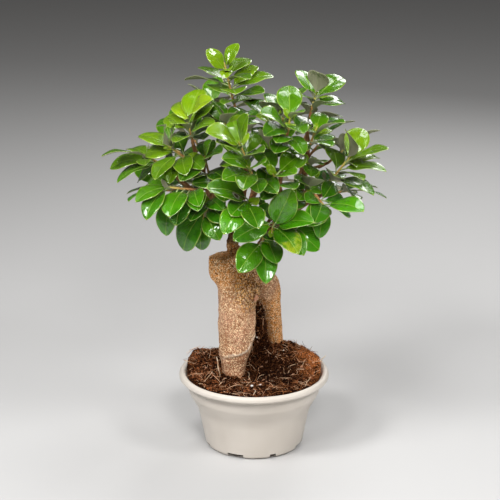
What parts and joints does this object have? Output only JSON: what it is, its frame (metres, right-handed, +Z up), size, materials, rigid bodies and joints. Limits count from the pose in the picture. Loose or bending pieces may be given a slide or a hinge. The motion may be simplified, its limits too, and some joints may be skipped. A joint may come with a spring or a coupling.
{
  "type": "potted bonsai",
  "caption": "Ficus ginseng bonsai: two swollen root legs join into a cut trunk with a domed crown of oval leaves, standing in a round cream plastic pot filled with peaty soil.",
  "frame": {"origin": "centre of the pot's flat underside, on the surface that the pot stands on", "axes": "+Z up along the pot's axis, front of the plant towards -Y, +X to the viewer's right"},
  "size_m": [0.274, 0.2412, 0.4054],
  "materials": {
    "pot_plastic": "satin moulded plastic, warm cream white",
    "potting_soil": "rough dark peat with reddish coir fibres",
    "bark": "matt tan bark with pale specks",
    "leaf": "glossy deep green leaf with a pale midrib"
  },
  "bodies": {
    "root": {"pot": "pot_plastic", "soil": "potting_soil", "trunk": "bark", "shoot_crown": "leaf", "shoot_upper_left": "leaf", "shoot_left_mid": "leaf", "shoot_far_left": "leaf", "shoot_left_low": "leaf", "shoot_left_hang": "leaf", "shoot_centre": "leaf", "shoot_centre_low": "leaf", "shoot_centre_right": "leaf", "shoot_right_up": "leaf", "shoot_right_in": "leaf", "shoot_right_mid": "leaf", "shoot_far_right": "leaf", "shoot_right_low": "leaf", "shoot_low_centre": "leaf", "shoot_low_right": "leaf", "shoot_lowest": "leaf", "shoot_inner_left": "leaf", "shoot_inner_top": "leaf", "shoot_inner_right": "leaf", "shoot_inner_low_left": "leaf", "shoot_inner_low_right": "leaf", "shoot_back_left_low": "leaf", "shoot_back_low": "leaf", "shoot_back_right_low": "leaf", "shoot_left_under": "leaf", "shoot_right_under": "leaf", "shoot_back_left": "leaf", "shoot_back_mid": "leaf", "shoot_back_right": "leaf", "shoot_right_back": "leaf", "shoot_left_back": "leaf", "shoot_back_up_left": "leaf", "shoot_back_up_right": "leaf", "shoot_right_up_back": "leaf", "shoot_top_right": "leaf", "shoot_inner_mid": "leaf", "shoot_inner_deep": "leaf"}
  },
  "joints": []
}
